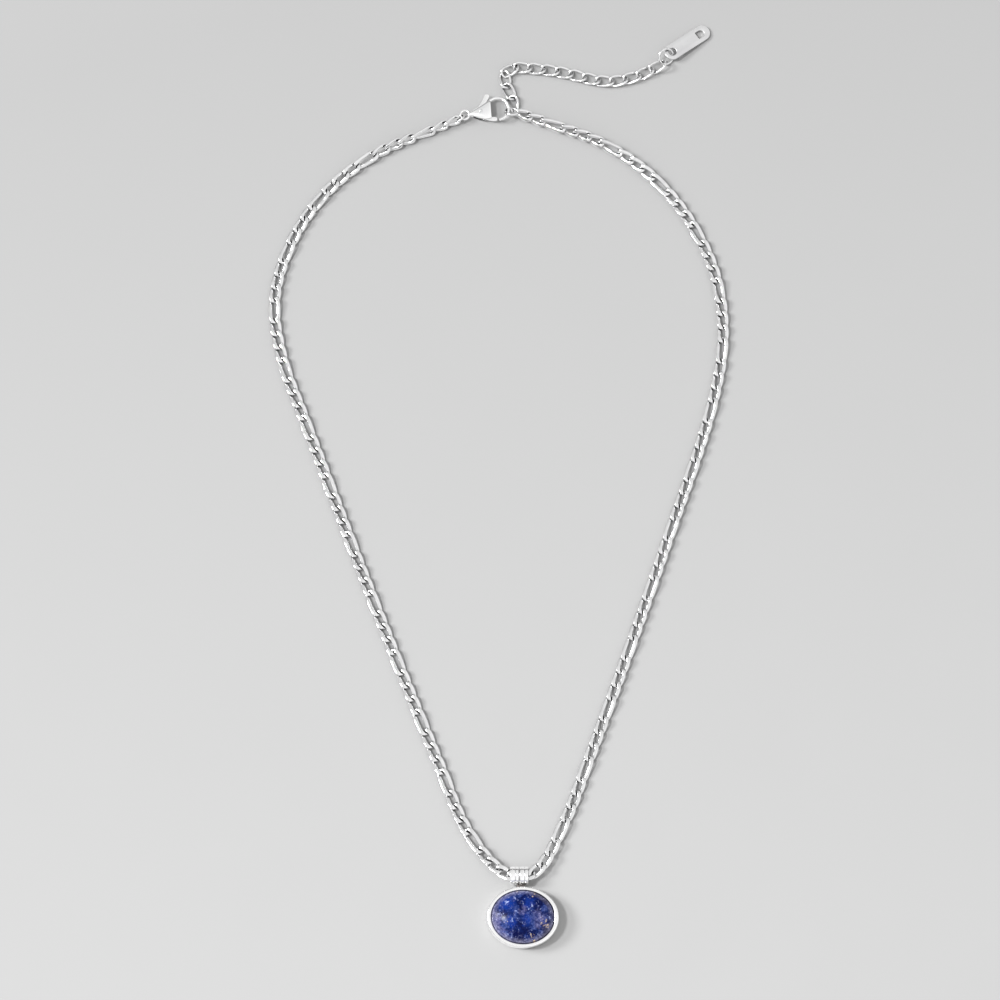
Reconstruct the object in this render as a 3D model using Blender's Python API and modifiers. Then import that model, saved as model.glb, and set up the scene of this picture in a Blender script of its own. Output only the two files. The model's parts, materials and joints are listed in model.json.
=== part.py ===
"""Pendant necklace: a figaro chain with a lobster clasp, an extender and an oval stone pendant.

The necklace lies flat with its pendant at -Y and its clasp at +Y, and +Z is up. It is laid out
round the point on the resting plane straight below the bail, and at the end all of it is moved so
that the origin is the centre of the pendant's flat back. Blender works in metres, and the sizes here
are in millimetres times MM.

Every unit of the chain is three short links and one long one. The links of a unit touch, and are
joined where they touch. Between two units there is a small gap, and the next unit turns there.
"""

import math

import bmesh
import bpy
import numpy as np
from mathutils import Matrix, Vector
from mathutils.geometry import interpolate_bezier

MM = 0.001

# Chain
WIRE = 0.65 * MM
CHAIN_WIDTH = 2.75 * MM
SHORT_PITCH = 3.27 * MM
LONG_PITCH = 5.10 * MM
LINK_SWAY = 0.50 * MM  # how far a link's corners stand off its mean plane
UNITS_PER_ARM = 14
SHORTS_PER_UNIT = 3
SHORTS_AT_END = 2
UNIT_LENGTH = SHORTS_PER_UNIT * SHORT_PITCH + LONG_PITCH
ARM_LENGTH = UNITS_PER_ARM * UNIT_LENGTH + SHORTS_AT_END * SHORT_PITCH
TOUCH = 0.20 * MM  # how much deeper than touching the links of one unit sit
SHORT_FULLNESS = 0.80  # 1 is an ellipse, and less is squarer
LONG_FULLNESS = 0.60

# The two arms: where each starts from the bail, which way it runs, and how it rolls near the clasp
ARMS = {
    "left": {
        "start": 2.0 * MM,
        "route": [
            (0, 0), (-4.0, 0.1), (-6.9, 2.1), (-9.1, 5.1), (-11.4, 9.6), (-20.1, 30.1),
            (-34.0, 64.8), (-47.6, 100.6), (-56.0, 123.5), (-57.4, 133.2), (-56.3, 143.0),
            (-52.6, 152.1), (-47.4, 160.3), (-40.7, 167.3), (-32.6, 172.6), (-12.0, 181.4),
        ],
        "roll_from": 178 * MM,
        "roll_to": 212 * MM,
        "roll": math.radians(72),
        "lift": 0,
    },
    "right": {
        "start": 2.95 * MM,
        "route": [
            (0, 0), (2.9, 0.3), (5.7, 3.1), (7.9, 7.0), (11.5, 15.4), (23.1, 46.2),
            (35.8, 82.1), (45.0, 109.7), (48.2, 129.0), (47.1, 138.9), (44.1, 148.3),
            (39.5, 157.0), (33.4, 164.7), (26.0, 171.0), (17.5, 175.8), (-3.0, 183.0),
        ],
        "roll_from": 170 * MM,
        "roll_to": 200 * MM,
        "roll": math.radians(-48),
        "lift": 0.45 * MM,  # the standing end ring holds this end off the plane
    },
}
CENTRE_YAW = math.radians(3)  # how the link inside the bail points a little up the right arm
LIFT_REACH = 9 * MM  # how far from the bail the chain comes down to the resting plane
END_LIFT_REACH = 12 * MM

# Bail
BAIL_RADIUS = 2.05 * MM
BAIL_BORE = 1.60 * MM
WIDE_RIB = 1.22 * MM
NARROW_RIB = 0.85 * MM
BAIL_HALF = WIDE_RIB + NARROW_RIB
BAIL_CENTRE = Vector((0, 0, BAIL_RADIUS))
RIB_DEPTH = 0.18 * MM
MIDDLE_GROOVE = 0.32 * MM

# Pendant
PENDANT_CENTRE = Vector((0.82 * MM, -9.40 * MM, 0))
PENDANT_TURN = math.radians(-1.5)
BEZEL_HALF_X = 8.07 * MM
OVAL_RATIO = 0.842  # height over width
BEZEL_HEIGHT = 3.70 * MM
LIP_HALF_X = 7.02 * MM
STONE_HALF_X = 7.15 * MM
STONE_SEAT = 1.30 * MM
STONE_TOP = 5.60 * MM
PLATE_THICK = 0.70 * MM
FIT_GAP = 0.05 * MM

# Clasp: u runs from the eye to the hook's far end, and v towards the thumb tab
CLASP_EYE = Vector((-12.67, 181.85, 1.2)) * MM
CLASP_TURN = math.radians(4.2)
CLASP_RISE = math.radians(3.8)  # the hook's end rests on the end ring
CLASP_THICK = 2.20 * MM
EYE_RADIUS = 1.06 * MM
EYE_WIRE = 0.52 * MM
HOOK_WIRE = 0.72 * MM
SLOT_WIDTH = 0.95 * MM
LEVER_THICK = 0.72 * MM
PIVOT = (3.9, 0.3)
RIVET_RADIUS = 0.34 * MM
BODY_OUTLINE = [
    (0.9, 0.42), (2.4, 1.15), (5.5, 2.75), (6.1, 3.05), (6.35, 2.9), (6.35, -1.35),
    (6.1, -1.75), (4.6, -1.85), (2.4, -1.1), (0.9, -0.42),
]
HOOK_ROUTE = [
    (5.9, 2.75), (7.2, 3.35), (8.6, 3.3), (9.7, 2.6), (10.35, 1.5), (10.5, 0.2), (10.1, -0.9),
    (9.2, -1.65), (8.1, -2.0),
]
LEVER_OUTLINE = [
    (2.95, 0.9), (4.0, 2.6), (4.8, 4.1), (5.15, 4.5), (5.6, 4.45), (5.8, 4.05), (5.2, 2.6),
    (4.75, 1.0), (4.95, -0.2), (6.2, -1.15), (7.55, -1.45), (7.5, -2.2), (5.2, -1.75),
    (3.6, -0.75), (3.05, -0.1),
]
SLOT_OUTLINE = [
    (2.0, -0.85), (2.0, 1.3), (3.0, 5.6), (7.0, 5.6), (6.6, 4.2), (5.45, 2.15), (5.45, 1.0),
    (8.0, 0.9), (8.0, -3.0), (4.4, -2.6),
]
SPRING_START = (2.12, 0.42)
SPRING_END = (2.86, 0.42)
SPRING_RADIUS = 0.30 * MM
SPRING_WIRE = 0.16 * MM
SPRING_TURNS = 2

# Rings
JUMP_RING_RADIUS = 1.05 * MM
JUMP_RING_WIRE = 0.50 * MM
JUMP_RING_TILT = math.radians(-55)
JUMP_RING_HEIGHT = 1.40 * MM
END_RING_CENTRE = Vector((-1.42, 182.4, 1.9)) * MM
END_RING_RADIUS = 1.65 * MM
END_RING_WIRE = 0.62 * MM
END_RING_TILT = math.radians(-45)

# Extender, ring and tag
EXTENDER_LINKS = 15
EXTENDER_PITCH = 3.34 * MM
EXTENDER_WIRE = 0.60 * MM
EXTENDER_WIDTH = 2.95 * MM
EXTENDER_SLACK = 0.15 * MM
EXTENDER_ROUTE = [
    (-0.94, 183.08), (-1.0, 185.0), (-2.0, 187.7), (-3.3, 190.4), (-3.3, 192.6), (-1.5, 194.0),
    (2.7, 193.9), (9.8, 193.0), (16.6, 191.3), (21.7, 190.4), (28.3, 191.8), (32.6, 193.9),
    (36.5, 197.5),
]
EXTENDER_FIRST_RISE = 0.21 * MM  # the first link rises this much to the standing end ring
EXTENDER_FIRST_ROLL = math.radians(11.5)
EXTENDER_LAST_RISE = 0.75 * MM  # the last link rises this much to the standing tag ring
TAG_RING_CENTRE = Vector((35.5, 196.6, 1.5)) * MM
TAG_RING_RADIUS = 1.85 * MM
TAG_RING_WIRE = 0.58 * MM
TAG_RING_TILT = math.radians(40)
TAG_HOLE = Vector((37.02, 197.75, 1.5)) * MM
TAG_TURN = math.radians(35.9)
TAG_PITCH = math.radians(6.0)
TAG_THICK = 0.50 * MM
TAG_HALF_WIDTH = 1.95 * MM
TAG_SPAN = 8.95 * MM  # between the centres of its two round ends
TAG_HOLE_RADIUS = 1.0 * MM
TAG_D_CENTRE = 8.47 * MM  # middle of the round side of the tag's D-shaped hole
TAG_D_RADIUS = 0.94 * MM
TAG_D_FLAT = 7.42 * MM  # where the hole's flat side stands

STEEL = ((0.80, 0.80, 0.82), 1.0, 0.14)
SATIN_STEEL = ((0.72, 0.72, 0.73), 1.0, 0.30)
LAPIS = ((0.02, 0.06, 0.34), 0.0, 0.12)

necklace = None
cutters = None


def clear_scene():
    for thing in list(bpy.data.objects):
        bpy.data.objects.remove(thing, do_unlink=True)


def new_collection(name):
    made = bpy.data.collections.new(name)
    bpy.context.scene.collection.children.link(made)
    return made


def add_part(name, mesh, pivot, look):
    """A visible part whose mesh is given in world space, with its origin at the pivot."""
    colour, metallic, roughness = look
    material = bpy.data.materials.new(name + "_finish")
    material.use_nodes = True
    surface = material.node_tree.nodes["Principled BSDF"]
    surface.inputs["Base Color"].default_value = (*colour, 1)
    surface.inputs["Metallic"].default_value = metallic
    surface.inputs["Roughness"].default_value = roughness
    mesh.materials.clear()
    mesh.materials.append(material)
    mesh.transform(Matrix.Translation(-pivot))
    mesh.shade_smooth()
    mesh.set_sharp_from_angle(angle=math.radians(40))
    part = bpy.data.objects.new(name, mesh)
    part.location = pivot
    necklace.objects.link(part)
    return part


def add_cutter(name, mesh):
    """A hidden helper in world space, for a Boolean to use."""
    cutter = bpy.data.objects.new(name, mesh)
    cutter.hide_render = True
    cutter.display_type = "WIRE"
    cutters.objects.link(cutter)
    return cutter


def combine(part, operation, cutter):
    modifier = part.modifiers.new(cutter.name, "BOOLEAN")
    modifier.operation = operation
    modifier.object = cutter


def mesh_from_curve(curve):
    """The closed mesh of a curve, with its caps welded on."""
    holder = bpy.data.objects.new(curve.name, curve)
    bpy.context.scene.collection.objects.link(holder)
    graph = bpy.context.evaluated_depsgraph_get()
    mesh = bpy.data.meshes.new_from_object(holder.evaluated_get(graph))
    bpy.data.objects.remove(holder, do_unlink=True)
    shape = bmesh.new()
    shape.from_mesh(mesh)
    bmesh.ops.remove_doubles(shape, verts=shape.verts, dist=0.0001 * MM)
    bmesh.ops.recalc_face_normals(shape, faces=shape.faces)
    shape.to_mesh(mesh)
    shape.free()
    return mesh


def wire_mesh(name, points, thickness, closed, roundness=0):
    """A wire of one thickness that runs through the points."""
    curve = bpy.data.curves.new(name, "CURVE")
    curve.dimensions = "3D"
    curve.bevel_depth = thickness / 2
    curve.bevel_resolution = roundness
    curve.use_fill_caps = True
    spline = curve.splines.new("POLY")
    spline.points.add(len(points) - 1)
    for spot, place in zip(spline.points, points):
        spot.co = (*place, 1)
    spline.use_cyclic_u = closed
    return mesh_from_curve(curve)


def plate_mesh(name, outline, thickness, holes=()):
    """A flat plate of the outline, with its middle plane at z = 0."""
    curve = bpy.data.curves.new(name, "CURVE")
    curve.dimensions = "2D"
    curve.fill_mode = "BOTH"
    curve.extrude = thickness / 2
    for loop in (outline, *holes):
        spline = curve.splines.new("POLY")
        spline.points.add(len(loop) - 1)
        for spot, (x, y) in zip(spline.points, loop):
            spot.co = (x, y, 0, 1)
        spline.use_cyclic_u = True
    return mesh_from_curve(curve)


def turned_mesh(name, profile, steps, closed):
    """The profile of (radius, height) points turned about the z axis."""
    mesh = bpy.data.meshes.new(name)
    count = len(profile)
    edges = [(i, (i + 1) % count) for i in range(count if closed else count - 1)]
    mesh.from_pydata([(r, 0, z) for r, z in profile], edges, [])
    holder = bpy.data.objects.new(name, mesh)
    bpy.context.scene.collection.objects.link(holder)
    screw = holder.modifiers.new("turn", "SCREW")
    screw.steps = steps
    screw.render_steps = steps
    screw.use_merge_vertices = True
    screw.merge_threshold = 0.001 * MM
    graph = bpy.context.evaluated_depsgraph_get()
    turned = bpy.data.meshes.new_from_object(holder.evaluated_get(graph))
    bpy.data.objects.remove(holder, do_unlink=True)
    return turned


def cylinder_mesh(name, radius, length, segments):
    mesh = bpy.data.meshes.new(name)
    shape = bmesh.new()
    bmesh.ops.create_cone(
        shape, cap_ends=True, segments=segments, radius1=radius, radius2=radius, depth=length
    )
    shape.to_mesh(mesh)
    shape.free()
    return mesh


def box_mesh(name, size, centre):
    mesh = bpy.data.meshes.new(name)
    shape = bmesh.new()
    bmesh.ops.create_cube(shape, size=1, matrix=Matrix.LocRotScale(centre, None, size))
    shape.to_mesh(mesh)
    shape.free()
    return mesh


class Route:
    """A smooth line on the resting plane, read by the distance run along it."""

    def __init__(self, controls):
        spots = [Vector((x, y, 0)) * MM for x, y in controls]
        headings = [
            (spots[min(i + 1, len(spots) - 1)] - spots[max(i - 1, 0)]).normalized()
            for i in range(len(spots))
        ]
        line = [spots[0]]
        for i in range(len(spots) - 1):
            third = (spots[i + 1] - spots[i]).length / 3
            line += interpolate_bezier(
                spots[i], spots[i] + headings[i] * third,
                spots[i + 1] - headings[i + 1] * third, spots[i + 1], 40,
            )[1:]
        self.line = np.array(line)
        steps = np.linalg.norm(np.diff(self.line, axis=0), axis=1)
        self.run = np.concatenate([[0], np.cumsum(steps)])

    def spot(self, distance, height):
        x = np.interp(distance, self.run, self.line[:, 0])
        y = np.interp(distance, self.run, self.line[:, 1])
        return Vector((x, y, height))


def blend_step(value):
    value = min(max(value, 0), 1)
    return value * value * (3 - 2 * value)


def roll_at(arm, distance):
    span = arm["roll_to"] - arm["roll_from"]
    return arm["roll"] * blend_step((distance - arm["roll_from"]) / span)


def height_at(arm, distance):
    """The height of the chain's centre: it rests on the plane, and rises to pass the bail."""
    roll = abs(roll_at(arm, distance))
    half_width = (CHAIN_WIDTH - WIRE) / 2
    resting = WIRE / 2 + LINK_SWAY * math.cos(roll) + half_width * math.sin(roll)
    at_bail = (BAIL_RADIUS - resting) * math.exp(-((distance / LIFT_REACH) ** 2))
    to_end = arm["start"] + ARM_LENGTH - distance
    return resting + at_bail + arm["lift"] * blend_step(1 - to_end / END_LIFT_REACH)


def link_loop(half_length, half_width, sway, fullness, count):
    """The centre line of one curb link, which sways up and down twice round its loop."""
    points = []
    for i in range(count):
        turn = 2 * math.pi * i / count
        along, across = math.cos(turn), math.sin(turn)
        x = half_length * math.copysign(abs(along) ** fullness, along)
        y = half_width * math.copysign(abs(across) ** fullness, across)
        points.append((x, y, -sway * math.sin(2 * turn)))
    return points


def chain_link_mesh(name, pitch):
    long_one = pitch > SHORT_PITCH
    loop = link_loop(
        (pitch + WIRE) / 2,
        (CHAIN_WIDTH - WIRE) / 2,
        LINK_SWAY,
        LONG_FULLNESS if long_one else SHORT_FULLNESS,
        8,
    )
    return wire_mesh(name, loop, WIRE, True)


def link_frame(start, end, roll):
    """The place of a link that runs from start to end, rolled about its own length."""
    along = (end - start).normalized()
    side = Vector((0, 0, 1)).cross(along).normalized()
    up = along.cross(side)
    turned = Matrix((along, side, up)).transposed() @ Matrix.Rotation(roll, 3, "X")
    return Matrix.Translation((start + end) / 2) @ turned.to_4x4()


def unit_pitches(arm_end):
    if arm_end:
        return [SHORT_PITCH] * SHORTS_AT_END
    return [SHORT_PITCH] * SHORTS_PER_UNIT + [LONG_PITCH]


def build_unit(name, arm, route, start, pitches, link_meshes):
    """One unit of the chain, whose links are joined where they touch."""
    spread = TOUCH * (len(pitches) - 1) / 2
    pivot = route.spot(start, height_at(arm, start))
    part = None
    low = start - spread
    for number, pitch in enumerate(pitches):
        ends = [route.spot(s, height_at(arm, s)) for s in (low, low + pitch)]
        frame = link_frame(*ends, roll_at(arm, low + pitch / 2))
        mesh = link_meshes[pitch].copy()
        mesh.transform(frame)
        if part is None:
            part = add_part(name, mesh, pivot, STEEL)
        else:
            combine(part, "UNION", add_cutter(f"{name}_link_{number + 1}", mesh))
        low += pitch + TOUCH


def build_chain():
    link_meshes = {
        SHORT_PITCH: chain_link_mesh("short_link", SHORT_PITCH),
        LONG_PITCH: chain_link_mesh("long_link", LONG_PITCH),
    }
    middle = (ARMS["right"]["start"] - ARMS["left"]["start"]) / 2
    centre = link_meshes[LONG_PITCH].copy()
    turned = Matrix.Rotation(CENTRE_YAW, 4, "Z")
    centre.transform(Matrix.Translation((middle, 0, BAIL_RADIUS)) @ turned)
    add_part("centre_link", centre, BAIL_CENTRE, STEEL)
    for side, arm in ARMS.items():
        route = Route(arm["route"])
        for number in range(UNITS_PER_ARM + 1):
            at_end = number == UNITS_PER_ARM
            name = f"{side}_chain_end" if at_end else f"{side}_chain_{number + 1:02d}"
            start = arm["start"] + number * UNIT_LENGTH
            build_unit(name, arm, route, start, unit_pitches(at_end), link_meshes)


def bail_profile():
    """A tube wall whose outside has two pairs of ribs, each a wide one beside a narrow one."""
    z = BAIL_HALF
    wall = [(BAIL_RADIUS - RIB_DEPTH, z)]
    for number, width in enumerate(2 * [NARROW_RIB, WIDE_RIB]):
        groove = MIDDLE_GROOVE if number == 1 else RIB_DEPTH
        wall.append((BAIL_RADIUS, z - width / 2))
        z -= width
        wall.append((BAIL_RADIUS - groove, z))
    return wall + [(BAIL_BORE, -BAIL_HALF), (BAIL_BORE, BAIL_HALF)]


def build_bail():
    mesh = turned_mesh("bail", bail_profile(), 24, True)
    to_place = Matrix.Translation(BAIL_CENTRE) @ Matrix.Rotation(math.pi / 2, 4, "Y")
    mesh.transform(to_place)
    add_part("bail", mesh, BAIL_CENTRE, STEEL)


def pendant_place():
    return (
        Matrix.Translation(PENDANT_CENTRE)
        @ Matrix.Rotation(PENDANT_TURN, 4, "Z")
        @ Matrix.Diagonal((1, OVAL_RATIO, 1, 1))
    )


def build_bezel():
    outer, lip = BEZEL_HALF_X, LIP_HALF_X
    wall = STONE_HALF_X + FIT_GAP
    seat = wall - 0.9 * MM
    plate = wall - 0.25 * MM
    profile = [
        (lip + 0.15 * MM, BEZEL_HEIGHT),
        (outer - 0.45 * MM, BEZEL_HEIGHT),
        (outer - 0.12 * MM, BEZEL_HEIGHT - 0.35 * MM),
        (outer, BEZEL_HEIGHT - 1.1 * MM),
        (outer - 0.1 * MM, 0.5 * MM),
        (outer - 0.5 * MM, 0),
        (plate, 0),
        (plate, PLATE_THICK + FIT_GAP),
        (seat, PLATE_THICK + FIT_GAP),
        (seat, STONE_SEAT - FIT_GAP),
        (wall, STONE_SEAT - FIT_GAP),
        (wall, BEZEL_HEIGHT - 0.7 * MM),
        (lip, BEZEL_HEIGHT - 0.3 * MM),
    ]
    mesh = turned_mesh("bezel", profile, 32, True)
    mesh.transform(pendant_place())
    add_part("bezel", mesh, BAIL_CENTRE, STEEL)


def build_back_plate():
    rim = STONE_HALF_X - 0.25 * MM
    profile = [(0, PLATE_THICK), (rim, PLATE_THICK), (rim, 0), (0, 0)]
    mesh = turned_mesh("back_plate", profile, 32, False)
    mesh.transform(pendant_place())
    add_part("back_plate", mesh, BAIL_CENTRE, STEEL)


def build_cabochon():
    """A domed stone with a straight girdle that the bezel's lip holds down."""
    girdle = BEZEL_HEIGHT - 0.75 * MM
    shoulder = LIP_HALF_X - FIT_GAP
    dome_foot = BEZEL_HEIGHT - 0.3 * MM
    rise = STONE_TOP - dome_foot
    profile = []
    for i in range(7):
        angle = math.radians(90 - 15 * i)
        profile.append((shoulder * math.cos(angle), dome_foot + rise * math.sin(angle)))
    profile[0] = (0, STONE_TOP)
    profile += [(STONE_HALF_X, girdle), (STONE_HALF_X, STONE_SEAT), (0, STONE_SEAT)]
    mesh = turned_mesh("cabochon", profile, 32, False)
    mesh.transform(pendant_place())
    add_part("cabochon", mesh, BAIL_CENTRE, LAPIS)


def build_bail_neck():
    """The soldered bridge that fills the space between the bail and the bezel, low down."""
    size = Vector((2.4, 1.8, 1.2)) * MM
    centre = Vector((0.4 * MM, -2.1 * MM, 1.1 * MM))
    part = add_part("bail_neck", box_mesh("bail_neck", size, centre), BAIL_CENTRE, STEEL)
    tube = cylinder_mesh("bail_space", BAIL_RADIUS + FIT_GAP, 6 * MM, 48)
    tube.transform(Matrix.Translation(BAIL_CENTRE) @ Matrix.Rotation(math.pi / 2, 4, "Y"))
    combine(part, "DIFFERENCE", add_cutter("bail_space", tube))
    oval = cylinder_mesh("bezel_space", BEZEL_HALF_X + FIT_GAP, 12 * MM, 96)
    oval.transform(pendant_place())
    combine(part, "DIFFERENCE", add_cutter("bezel_space", oval))


def clasp_place():
    turn = Matrix.Rotation(CLASP_TURN, 4, "Z") @ Matrix.Rotation(-CLASP_RISE, 4, "Y")
    return Matrix.Translation(CLASP_EYE) @ turn


def clasp_spot(u, v):
    return clasp_place() @ Vector((u * MM, v * MM, 0))


def in_mm(outline):
    return [(u * MM, v * MM) for u, v in outline]


def ring_points(radius, count):
    turns = [2 * math.pi * i / count for i in range(count)]
    return [(radius * math.cos(turn), radius * math.sin(turn), 0) for turn in turns]


def build_clasp_body():
    """Two cheeks with a slot between them, the eye at one end and the hook at the other."""
    place = clasp_place()
    mesh = plate_mesh("clasp_body", in_mm(BODY_OUTLINE), CLASP_THICK)
    mesh.transform(place)
    part = add_part("clasp_body", mesh, CLASP_EYE, STEEL)
    eye = wire_mesh("clasp_eye", ring_points(EYE_RADIUS, 16), EYE_WIRE, True)
    hook = wire_mesh(
        "clasp_hook", [(u * MM, v * MM, 0) for u, v in HOOK_ROUTE], HOOK_WIRE, False, 1
    )
    slot = plate_mesh("lever_slot", in_mm(SLOT_OUTLINE), SLOT_WIDTH)
    bore = cylinder_mesh("rivet_bore", RIVET_RADIUS + FIT_GAP, 2 * CLASP_THICK, 16)
    bore.transform(Matrix.Translation((PIVOT[0] * MM, PIVOT[1] * MM, 0)))
    for operation, tool in (
        ("DIFFERENCE", slot), ("UNION", eye), ("UNION", hook), ("DIFFERENCE", bore)
    ):
        tool.transform(place)
        combine(part, operation, add_cutter(tool.name + "_tool", tool))


def build_clasp_lever():
    """The sprung lever: a thumb tab on one side of the pivot and the gate on the other."""
    mesh = plate_mesh("clasp_lever", in_mm(LEVER_OUTLINE), LEVER_THICK)
    mesh.transform(clasp_place())
    part = add_part("clasp_lever", mesh, clasp_spot(*PIVOT), STEEL)
    bore = cylinder_mesh("lever_bore", RIVET_RADIUS + FIT_GAP, 2 * CLASP_THICK, 16)
    bore.transform(clasp_place() @ Matrix.Translation((PIVOT[0] * MM, PIVOT[1] * MM, 0)))
    combine(part, "DIFFERENCE", add_cutter("lever_bore", bore))


def build_clasp_rivet():
    mesh = cylinder_mesh("clasp_rivet", RIVET_RADIUS, CLASP_THICK, 16)
    mesh.transform(clasp_place() @ Matrix.Translation((PIVOT[0] * MM, PIVOT[1] * MM, 0)))
    add_part("clasp_rivet", mesh, clasp_spot(*PIVOT), STEEL)


def build_clasp_spring():
    """A short coil between the end of the slot and the lever."""
    count = 8 * SPRING_TURNS
    points = []
    for i in range(count + 1):
        turn = 2 * math.pi * i / 8
        u = SPRING_START[0] + (SPRING_END[0] - SPRING_START[0]) * i / count
        points.append((
            u * MM,
            SPRING_START[1] * MM + SPRING_RADIUS * math.cos(turn),
            SPRING_RADIUS * math.sin(turn),
        ))
    mesh = wire_mesh("clasp_spring", points, SPRING_WIRE, False)
    mesh.transform(clasp_place())
    add_part("clasp_spring", mesh, clasp_spot(*SPRING_START), STEEL)


def build_jump_ring():
    """A leaning ring through the left arm's last link and the clasp's eye."""
    arm = ARMS["left"]
    contact = Route(arm["route"]).spot(arm["start"] + ARM_LENGTH, JUMP_RING_HEIGHT)
    eye = Vector((CLASP_EYE.x, CLASP_EYE.y, JUMP_RING_HEIGHT))
    heading = (eye - contact).normalized()
    centre = contact + heading * (JUMP_RING_RADIUS - JUMP_RING_WIRE / 2)
    mesh = wire_mesh("jump_ring", ring_points(JUMP_RING_RADIUS, 12), JUMP_RING_WIRE, True)
    lean = Matrix.Rotation(JUMP_RING_TILT, 4, "X")
    facing = Matrix.Rotation(math.atan2(heading.y, heading.x), 4, "Z")
    mesh.transform(Matrix.Translation(centre) @ facing @ lean)
    add_part("clasp_jump_ring", mesh, centre, STEEL)


def build_end_ring():
    mesh = wire_mesh("end_ring", ring_points(END_RING_RADIUS, 16), END_RING_WIRE, True)
    tilt = Matrix.Rotation(END_RING_TILT, 4, "X")
    mesh.transform(Matrix.Translation(END_RING_CENTRE) @ tilt)
    add_part("end_ring", mesh, END_RING_CENTRE, STEEL)


def build_extender():
    """Open curb links, each one free to turn on the next."""
    route = Route(EXTENDER_ROUTE)
    loop = link_loop(
        (EXTENDER_PITCH + EXTENDER_WIRE) / 2 + EXTENDER_SLACK,
        (EXTENDER_WIDTH - EXTENDER_WIRE) / 2,
        LINK_SWAY,
        SHORT_FULLNESS,
        8,
    )
    link = wire_mesh("extender_link", loop, EXTENDER_WIRE, True)
    height = EXTENDER_WIRE / 2 + LINK_SWAY
    for number in range(1, EXTENDER_LINKS + 1):
        first = number == 1
        last = number == EXTENDER_LINKS
        near_height = height + (EXTENDER_FIRST_RISE if first else 0)
        far_height = height + (EXTENDER_LAST_RISE if last else 0)
        start = route.spot((number - 1) * EXTENDER_PITCH, near_height)
        end = route.spot(number * EXTENDER_PITCH, far_height)
        mesh = link.copy()
        mesh.transform(link_frame(start, end, EXTENDER_FIRST_ROLL if first else 0))
        add_part(f"extender_link_{number:02d}", mesh, start, STEEL)


def build_tag_ring():
    """A ring through the extender's last link and the tag's round hole."""
    mesh = wire_mesh("tag_ring", ring_points(TAG_RING_RADIUS, 16), TAG_RING_WIRE, True)
    across = TAG_HOLE - TAG_RING_CENTRE
    heading = Matrix.Rotation(math.atan2(across.y, across.x), 4, "Z")
    tilt = heading @ Matrix.Rotation(TAG_RING_TILT, 4, "X")
    mesh.transform(Matrix.Translation(TAG_RING_CENTRE) @ tilt)
    add_part("tag_ring", mesh, TAG_RING_CENTRE, STEEL)


def arc_points(centre, radius, start, end, count):
    turns = np.linspace(math.radians(start), math.radians(end), count)
    return [(centre + radius * math.cos(t), radius * math.sin(t)) for t in turns]


def build_tag():
    """A flat tag with round ends, a round hole for the ring and a D-shaped hole."""
    outline = arc_points(0, TAG_HALF_WIDTH, 90, 270, 9)
    outline += arc_points(TAG_SPAN, TAG_HALF_WIDTH, -90, 90, 9)
    round_hole = arc_points(0, TAG_HOLE_RADIUS, 0, 330, 12)
    d_hole = arc_points(TAG_D_CENTRE, TAG_D_RADIUS, -90, 90, 7)
    d_hole += [(TAG_D_FLAT, TAG_D_RADIUS), (TAG_D_FLAT, -TAG_D_RADIUS)]
    mesh = plate_mesh("tag", outline, TAG_THICK, (round_hole, d_hole))
    turn = Matrix.Rotation(TAG_TURN, 4, "Z") @ Matrix.Rotation(TAG_PITCH, 4, "Y")
    mesh.transform(Matrix.Translation(TAG_HOLE) @ turn)
    add_part("tag", mesh, TAG_HOLE, SATIN_STEEL)


def move_origin():
    """Puts the world's origin at the centre of the pendant's flat back."""
    for thing in (*necklace.objects, *cutters.objects):
        thing.location -= PENDANT_CENTRE


clear_scene()
necklace = new_collection("pendant_necklace")
cutters = new_collection("cutters")
cutters.hide_render = True
build_chain()
build_bail()
build_bail_neck()
build_bezel()
build_back_plate()
build_cabochon()
build_clasp_body()
build_clasp_lever()
build_clasp_rivet()
build_clasp_spring()
build_jump_ring()
build_end_ring()
build_extender()
build_tag_ring()
build_tag()
move_origin()
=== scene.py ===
"""Looks of the pendant necklace: fine links, clasp, bezel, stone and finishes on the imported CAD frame.

Everything is in metres in the CAD's frame. Sizes below are in millimetres times MM. Where a piece
stands comes from the frame's joints and nodes, and its size follows the CAD piece it stands for.
"""

import json
import math

import bmesh
import bpy
import numpy as np
from mathutils import Matrix, Vector


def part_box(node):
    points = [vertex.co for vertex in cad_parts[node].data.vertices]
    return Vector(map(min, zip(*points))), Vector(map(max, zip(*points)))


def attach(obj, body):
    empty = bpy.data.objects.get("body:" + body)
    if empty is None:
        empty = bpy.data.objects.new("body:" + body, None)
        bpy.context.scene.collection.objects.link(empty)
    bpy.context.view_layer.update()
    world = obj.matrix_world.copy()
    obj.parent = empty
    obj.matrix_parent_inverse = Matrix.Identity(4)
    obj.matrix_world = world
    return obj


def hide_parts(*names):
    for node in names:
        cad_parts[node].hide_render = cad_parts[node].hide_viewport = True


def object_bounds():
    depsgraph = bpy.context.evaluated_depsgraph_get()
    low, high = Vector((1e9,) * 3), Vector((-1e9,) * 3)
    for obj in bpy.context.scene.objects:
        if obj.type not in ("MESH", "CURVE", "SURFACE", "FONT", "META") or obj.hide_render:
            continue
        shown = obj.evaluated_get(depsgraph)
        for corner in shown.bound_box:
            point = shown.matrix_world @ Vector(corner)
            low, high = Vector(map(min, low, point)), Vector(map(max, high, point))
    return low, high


MM = 0.001

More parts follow.
